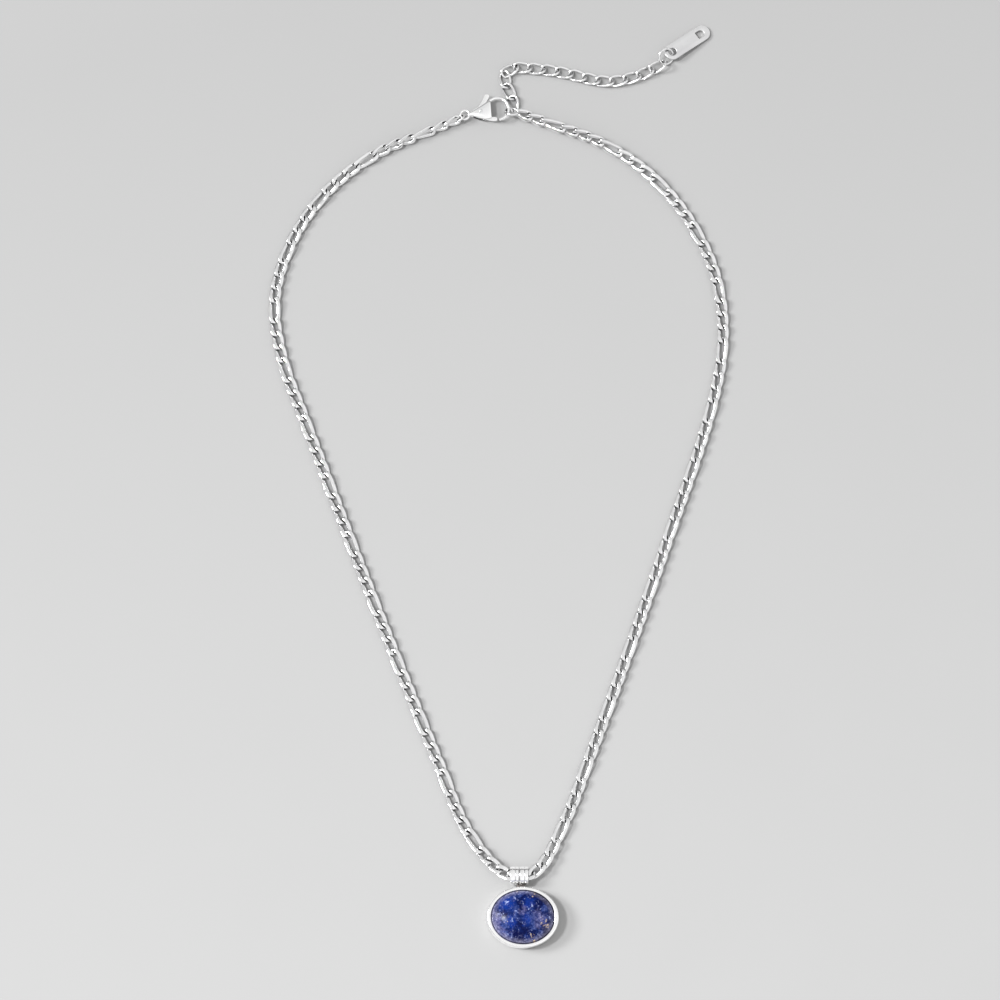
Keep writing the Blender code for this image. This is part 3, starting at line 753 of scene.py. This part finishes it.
def bail_outside():
    """Radius and place along the tube of its ribbed outside, from one end to the other."""
    z = -BAIL_HALF
    outside = []
    for number, width in enumerate(2 * [WIDE_RIB, NARROW_RIB]):
        for share in np.linspace(-1, 1, 25):
            by_middle = (number == 1 and share > 0) or (number == 2 and share < 0)
            groove = MIDDLE_GROOVE if by_middle else RIB_GROOVE
            crown = (1 - abs(share) ** 2.4) ** (1 / 2.4)
            outside.append((BAIL_RADIUS - groove * (1 - crown), z + (share + 1) / 2 * width))
        z += width
        outside.pop()
    return outside + [(BAIL_RADIUS - RIB_GROOVE, BAIL_HALF)]


def build_bail(steel):
    """A ribbed tube with softly rounded ends."""
    inner = [
        (BAIL_BORE + BORE_FLARE, BAIL_HALF), (BAIL_BORE, BAIL_HALF - BORE_EASE),
        (BAIL_BORE, -BAIL_HALF + BORE_EASE), (BAIL_BORE + BORE_FLARE, -BAIL_HALF),
    ]
    place = Matrix.Translation(pivot("pendant_swing")) @ Matrix.Rotation(math.pi / 2, 4, "Y")
    rows = moved_rows(turned_rows(bail_outside() + inner, 120), place)
    new_piece("bail_tube", grid_mesh("bail_tube", rows), "bail", steel, 50)


def build_bail_neck(solder):
    """The soldered bridge, waisted in the middle and flared where it meets its neighbours."""
    low, high = (Vector(corner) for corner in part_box("bail_neck"))
    middle = (low + high) / 2
    half = (high - low) / 2
    turns = np.linspace(0, 2 * np.pi, 32, endpoint=False)
    rows = []
    for t in np.linspace(-1, 1, 15):
        flare = 0.80 + 0.20 * t * t
        x = middle.x + half.x * flare * rounded(np.cos(turns), 2.8)
        z = low.z + half.z * 0.6 * (1 + flare * rounded(np.sin(turns), 2.8))
        rows.append(np.stack([x, np.full_like(x, middle.y + half.y * t), z], axis=1))
    new_piece("bail_solder", grid_mesh("bail_solder", rows, False), "bail_neck", solder, 60)


def build_bezel(steel):
    """A full, rounded rim burnished over the stone, with a small step inside and a soft foot."""
    crown = (BEZEL_HALF_X + LIP_HALF_X) / 2
    half = (BEZEL_HALF_X - LIP_HALF_X) / 2
    shoulder = BEZEL_HEIGHT - BEZEL_CROWN
    profile = [(LIP_HALF_X + 0.02 * MM, BEZEL_HEIGHT - 0.6 * MM)]
    turns = np.radians(np.linspace(180, 0, 31))
    across, rise = rounded(np.cos(turns), 2.5), rounded(np.sin(turns), 2.5)
    profile += [(crown + half * a, shoulder + BEZEL_CROWN * r) for a, r in zip(across, rise)]
    foot = BEZEL_HALF_X - 0.45 * MM
    profile += [(BEZEL_HALF_X - 0.01 * MM, 1.6 * MM), (BEZEL_HALF_X - 0.05 * MM, 0.8 * MM)]
    profile += bend((foot, BEZEL_FOOT), BEZEL_FOOT, -10, -90, 7)
    profile += [(STONE_HALF_X - 0.25 * MM, 0), (STONE_HALF_X - 0.25 * MM, PLATE_THICK)]
    profile += [(SEAT_HALF_X - 0.9 * MM, PLATE_THICK), (SEAT_HALF_X - 0.9 * MM, STONE_SEAT)]
    profile += [(SEAT_HALF_X, STONE_SEAT), (SEAT_HALF_X, BEZEL_HEIGHT - 0.75 * MM)]
    new_piece("bezel_rim", grid_mesh("bezel_rim", oval(turned_rows(profile, 144))), "bezel", steel, 50)


def build_back_plate(steel):
    """The closed back: a disc with an eased edge and a shallow dish."""
    rim = STONE_HALF_X - 0.27 * MM
    profile = [(HUB, PLATE_THICK), (rim - 0.08 * MM, PLATE_THICK)]
    profile += bend((rim - 0.08 * MM, PLATE_THICK - 0.08 * MM), 0.08 * MM, 75, 0, 4)
    profile += bend((rim - 0.10 * MM, 0.10 * MM), 0.10 * MM, 0, -90, 5)
    profile += [(rim - 0.9 * MM, 0), (rim - 1.3 * MM, 0.06 * MM), (HUB, 0.08 * MM)]
    rows = oval(turned_rows(profile, 144)).transpose(1, 0, 2)
    new_piece("back_disc", grid_mesh("back_disc", rows, False), "back_plate", steel, 50)


def build_cabochon(stone):
    """A domed stone with a straight girdle under the rim's lip."""
    foot = BEZEL_HEIGHT - 0.35 * MM
    shoulder = LIP_HALF_X - 0.03 * MM
    profile = [(HUB, STONE_SEAT + 0.02 * MM), (STONE_HALF_X - 0.2 * MM, STONE_SEAT + 0.02 * MM)]
    profile += bend((STONE_HALF_X - 0.2 * MM, STONE_SEAT + 0.22 * MM), 0.2 * MM, -75, 0, 5)
    profile += [(STONE_HALF_X, foot - 0.45 * MM), (shoulder, foot - 0.2 * MM)]
    for angle in np.linspace(0, 89.9, 40):
        turn = math.radians(angle)
        profile.append((shoulder * math.cos(turn), foot + (STONE_TOP - foot) * math.sin(turn)))
    rows = oval(turned_rows(profile, 144)).transpose(1, 0, 2)
    new_piece("cabochon_stone", grid_mesh("cabochon_stone", rows, False), "cabochon", stone, 50)


def smooth_loop(corners, steps):
    """A closed outline that runs smoothly through its corners."""
    corners = np.array(corners, float)
    before, ahead = np.roll(corners, 1, axis=0), np.roll(corners, -1, axis=0)
    slopes = (ahead - before) / 2
    points = []
    for i in range(len(corners)):
        j = (i + 1) % len(corners)
        reach = np.linalg.norm(corners[j] - corners[i])
        leave = slopes[i] / max(np.linalg.norm(slopes[i]), 1e-9) * reach
        arrive = slopes[j] / max(np.linalg.norm(slopes[j]), 1e-9) * reach
        for t in np.linspace(0, 1, steps, endpoint=False):
            points.append(
                corners[i] * (2 * t**3 - 3 * t**2 + 1) + corners[j] * (3 * t**2 - 2 * t**3)
                + leave * (t**3 - 2 * t**2 + t) + arrive * (t**3 - t**2)
            )
    return np.array(points)


def smooth_path(corners, steps):
    """An open line that runs smoothly through its corners."""
    stations = list(range(len(corners)))
    line = Line(stations, [(u, v, 0) for u, v in corners])
    return np.array([line.at(s) for s in np.linspace(0, stations[-1], steps)])


def plate_mesh(name, outline, thickness, rounding, holes=()):
    """A flat plate with rounded edges, with its middle plane at z = 0."""
    curve = bpy.data.curves.new(name, "CURVE")
    curve.dimensions = "2D"
    curve.fill_mode = "BOTH"
    curve.extrude = thickness / 2 - rounding
    curve.bevel_depth = rounding
    curve.bevel_resolution = 3
    curve.offset = -rounding
    for loop in (outline, *holes):
        spline = curve.splines.new("POLY")
        spline.points.add(len(loop) - 1)
        for spot, (x, y) in zip(spline.points, loop):
            spot.co = (x, y, 0, 1)
        spline.use_cyclic_u = True
    holder = bpy.data.objects.new(name, curve)
    bpy.context.scene.collection.objects.link(holder)
    graph = bpy.context.evaluated_depsgraph_get()
    mesh = bpy.data.meshes.new_from_object(holder.evaluated_get(graph))
    bpy.data.objects.remove(holder, do_unlink=True)
    shape = bmesh.new()
    shape.from_mesh(mesh)
    bmesh.ops.remove_doubles(shape, verts=shape.verts, dist=0.001 * MM)
    bmesh.ops.recalc_face_normals(shape, faces=shape.faces)
    shape.to_mesh(mesh)
    shape.free()
    return mesh


def pin_mesh(name, radius, half_length, rounding, steps=40):
    """A pin along z with rounded ends."""
    profile = [(0.004 * MM, -half_length)]
    profile += bend((radius - rounding, rounding - half_length), rounding, -90, 0, 5)
    profile += bend((radius - rounding, half_length - rounding), rounding, 0, 90, 5)
    profile += [(0.004 * MM, half_length)]
    return grid_mesh(name, turned_rows(profile, steps).transpose(1, 0, 2), False)


def joined(name, mesh, tools):
    """The mesh after each Boolean (operation, tool mesh) in turn."""
    part = bpy.data.objects.new(name, mesh)
    bpy.context.scene.collection.objects.link(part)
    helpers = []
    for operation, tool in tools:
        helper = bpy.data.objects.new(tool.name, tool)
        bpy.context.scene.collection.objects.link(helper)
        modifier = part.modifiers.new(tool.name, "BOOLEAN")
        modifier.operation = operation
        modifier.object = helper
        helpers.append(helper)
    graph = bpy.context.evaluated_depsgraph_get()
    result = bpy.data.meshes.new_from_object(part.evaluated_get(graph))
    for thing in (part, *helpers):
        bpy.data.objects.remove(thing, do_unlink=True)
    return result


def clasp_place():
    """The clasp's own frame, found from its lever's axle and the point where its eye hangs."""
    up = Vector(JOINTS["lever_turn"]["axis"]).normalized()
    axle, eye = pivot("lever_turn"), pivot("clasp_swing")
    across = PIVOT_UV[0] - EYE_CONTACT_UV[0]
    rise = PIVOT_UV[1] - EYE_CONTACT_UV[1]
    u = Matrix.Rotation(-math.atan2(rise, across), 3, up) @ (axle - eye).normalized()
    u = (u - up * u.dot(up)).normalized()
    v = up.cross(u)
    origin = axle - (u * PIVOT_UV[0] + v * PIVOT_UV[1]) * MM
    return Matrix.Translation(origin) @ Matrix((u, v, up)).transposed().to_4x4()


def clasp_body_shell():
    """The domed, tapering body before its slot is cut, lofted along u."""
    stations = np.array(BODY_STATIONS)
    turns = np.linspace(0, 2 * np.pi, 48, endpoint=False)
    spots = np.concatenate([np.linspace(0.75, 6.15, 28), [6.22, 6.28, 6.32, 6.34]])
    rows = []
    for u in spots:
        top, bottom, share = (np.interp(u, stations[:, 0], stations[:, k]) for k in (1, 2, 3))
        v = (top + bottom) / 2 + (top - bottom) / 2 * rounded(np.cos(turns), 2.4)
        w = CLASP_HALF_THICK * share * rounded(np.sin(turns), 2.4)
        rows.append(np.stack([np.full_like(v, u * MM), v * MM, w], axis=1))
    return grid_mesh("clasp_shell", rows, False)


def clasp_hook_band():
    """The hook: an oval band that narrows to its tip."""
    path = smooth_path(HOOK_ROUTE, 60) * MM
    taper = np.interp(np.linspace(0, 1, 60), (0, 0.15, 0.8, 1), (0.9, 1, 1, 0.78))
    rows = list(wire_rows(path, (0, 0, 1), HOOK_WIRE * taper, HOOK_DEPTH * taper, 20, 2.3, False))
    tip = path[-1]
    rows.append(tip + (rows[-1] - tip) * 0.7 + (path[-1] - path[-2]) * 0.25)
    return grid_mesh("clasp_hook", rows, False)


def clasp_eye_ring():
    """The eye, a closed ring round the clasp's own origin."""
    turns = np.linspace(0, 2 * np.pi, 60, endpoint=False)
    path = np.stack([EYE_RADIUS * np.cos(turns), EYE_RADIUS * np.sin(turns), 0 * turns], axis=1)
    return grid_mesh("clasp_eye", wire_rows(path, (0, 0, 1), EYE_WIRE, EYE_WIRE * 1.15, 18, 2.2))


def build_clasp(steel):
    """Body with its eye, hook and slot, the lever in the slot, its rivet and its spring."""
    place = clasp_place()
    axle = Matrix.Translation(Vector((*PIVOT_UV, 0)) * MM)
    bore = pin_mesh("bore", RIVET_RADIUS + RIVET_PLAY, 2 * CLASP_HALF_THICK, 0.05 * MM)
    bore.transform(axle)
    slot = plate_mesh("slot", np.array(SLOT_OUTLINE) * MM, SLOT_WIDTH, 0.04 * MM)
    body = joined("clasp_body", clasp_body_shell(), [
        ("DIFFERENCE", slot), ("UNION", clasp_eye_ring()), ("UNION", clasp_hook_band()),
        ("DIFFERENCE", bore),
    ])
    outline = smooth_loop(np.array(LEVER_OUTLINE) * MM, 7)
    plate = plate_mesh("lever", outline, LEVER_THICK, LEVER_ROUNDING)
    lever = joined("clasp_lever", plate, [("DIFFERENCE", bore)])
    rivet = pin_mesh("rivet", RIVET_RADIUS, CLASP_HALF_THICK + RIVET_PROUD, 0.10 * MM)
    rivet.transform(axle)
    for name, mesh, node in (
        ("clasp_body_shell", body, "clasp_body"), ("clasp_lever_plate", lever, "clasp_lever"),
        ("clasp_rivet_pin", rivet, "clasp_rivet"), ("clasp_spring_coil", spring_mesh(), "clasp_spring"),
    ):
        mesh.transform(place)
        new_piece(name, mesh, node, steel, 38)


def spring_mesh():
    """The small coil between the end of the slot and the lever."""
    t = np.linspace(0, 1, 24 * SPRING_TURNS)
    turns = 2 * np.pi * SPRING_TURNS * t
    u = SPRING_START[0] * MM + (SPRING_END[0] - SPRING_START[0]) * MM * t
    v = SPRING_START[1] * MM + SPRING_RADIUS * np.cos(turns)
    path = np.stack([u, v, SPRING_RADIUS * np.sin(turns)], axis=1)
    return grid_mesh("spring", wire_rows(path, (1, 0, 0), SPRING_WIRE, SPRING_WIRE, 10, 2.0, False), False)


def build_tag(satin):
    """The flat tag: round ends, a round hole for its ring and a D-shaped hole at the far end."""
    outline = bend((0, 0), TAG_HALF_WIDTH, 90, 270, 33)
    outline += bend((TAG_SPAN, 0), TAG_HALF_WIDTH, -90, 90, 33)
    round_hole = bend((0, 0), TAG_HOLE_RADIUS, 0, 350, 36)
    d_hole = bend((TAG_D_CENTRE, 0), TAG_D_RADIUS, -90, 90, 25)
    d_hole += [(TAG_D_FLAT, TAG_D_RADIUS), (TAG_D_FLAT, -TAG_D_RADIUS)]
    mesh = plate_mesh("tag", outline, TAG_THICK, TAG_ROUNDING, (round_hole, smooth_corners(d_hole)))
    turn = Matrix.Rotation(TAG_TURN, 4, "Z") @ Matrix.Rotation(TAG_PITCH, 4, "Y")
    mesh.transform(Matrix.Translation(pivot("tag_swing")) @ turn)
    new_piece("tag_plate", mesh, "tag", satin, 50)


def smooth_corners(loop):
    """The same closed outline with its corners cut once, so that they turn softly."""
    points = np.array(loop)
    ahead = np.roll(points, -1, axis=0)
    cut = np.empty((2 * len(points), 2))
    cut[0::2] = points * 0.9 + ahead * 0.1
    cut[1::2] = points * 0.1 + ahead * 0.9
    return cut


# ---------------------------------------------------------------- stage


def build_floor(paint):
    """A square of floor just under the necklace."""
    mesh = bpy.data.meshes.new("floor")
    shape = bmesh.new()
    bmesh.ops.create_grid(shape, x_segments=1, y_segments=1, size=FLOOR_HALF)
    shape.to_mesh(mesh)
    shape.free()
    mesh.materials.append(paint)
    floor = bpy.data.objects.new("floor", mesh)
    floor.location = (0, 0, CAD_BOX[0].z - FLOOR_GAP)
    bpy.context.scene.collection.objects.link(floor)


def add_light(name, place, aim, size, power):
    """A soft rectangular lamp that faces a point."""
    light = bpy.data.lights.new(name, "AREA")
    light.shape = "RECTANGLE"
    light.size, light.size_y = size
    light.energy = power
    lamp = bpy.data.objects.new(name, light)
    lamp.location = place
    lamp.rotation_mode = "QUATERNION"
    lamp.rotation_quaternion = (Vector(aim) - Vector(place)).to_track_quat("-Z", "Y")
    bpy.context.scene.collection.objects.link(lamp)


def build_world():
    """A white room with a dark band at the horizon, which stands higher on the upper left."""
    make = Shader("studio", world=True)
    spot = make.node("ShaderNodeTexCoord").outputs["Generated"]
    split = make.node("ShaderNodeSeparateXYZ", None, Vector=spot)
    side = make.maths(
        "SUBTRACT", make.maths("MULTIPLY", split.outputs["X"], 0.8),
        make.maths("MULTIPLY", split.outputs["Y"], 0.6),
    )
    height = make.maths("ADD", split.outputs["Z"], make.maths("MULTIPLY", side, WORLD_LEAN))
    ramp = make.node("ShaderNodeValToRGB", None, Fac=height)
    stops = ramp.color_ramp.elements
    stops[0].position, stops[0].color = 0.0, (0.12, 0.12, 0.125, 1)
    stops[1].position, stops[1].color = 0.70, (0.98, 0.98, 0.98, 1)
    for position, tone in WORLD_TONES:
        stops.new(position).color = grey(tone)
    strength = make.spread(side, -0.6, 0.6, WORLD_DIM, WORLD_BRIGHT)
    make.set(Color=ramp.outputs["Color"], Strength=strength)
    bpy.context.scene.world = make.owner


def build_lights():
    """A large key lamp on the left, and a small one that leaves a soft bright spot on the stone."""
    middle = (CAD_BOX[0] + CAD_BOX[1]) / 2
    add_light("key", middle + KEY_PLACE, middle, KEY_SIZE, KEY_POWER)
    add_light("spark", middle + SPARK_PLACE, middle, SPARK_SIZE, SPARK_POWER)


def build_camera():
    """The camera, tilted a little off straight down."""
    data = bpy.data.cameras.new("camera")
    data.lens = CAMERA_LENS
    data.sensor_width = SENSOR
    data.clip_start = 0.01
    camera = bpy.data.objects.new("camera", data)
    back = Vector((0, -math.sin(CAMERA_TILT), math.cos(CAMERA_TILT)))
    camera.location = AIM + back * CAMERA_DISTANCE
    camera.rotation_euler = (CAMERA_TILT, 0, 0)
    bpy.context.scene.collection.objects.link(camera)
    bpy.context.scene.camera = camera


steel = polished_steel()
wire = wire_steel()
build_chain(wire)
for ring, seam in SEAM_AT.items():
    build_ring(ring, wire, seam)
build_extender(wire)
build_bail(steel)
build_bail_neck(dull_solder())
build_bezel(steel)
build_back_plate(steel)
build_cabochon(lapis())
build_clasp(steel)
build_tag(satin_steel())
build_floor(floor_paint())
build_world()
build_lights()
build_camera()
bpy.context.scene.view_settings.view_transform = "Standard"
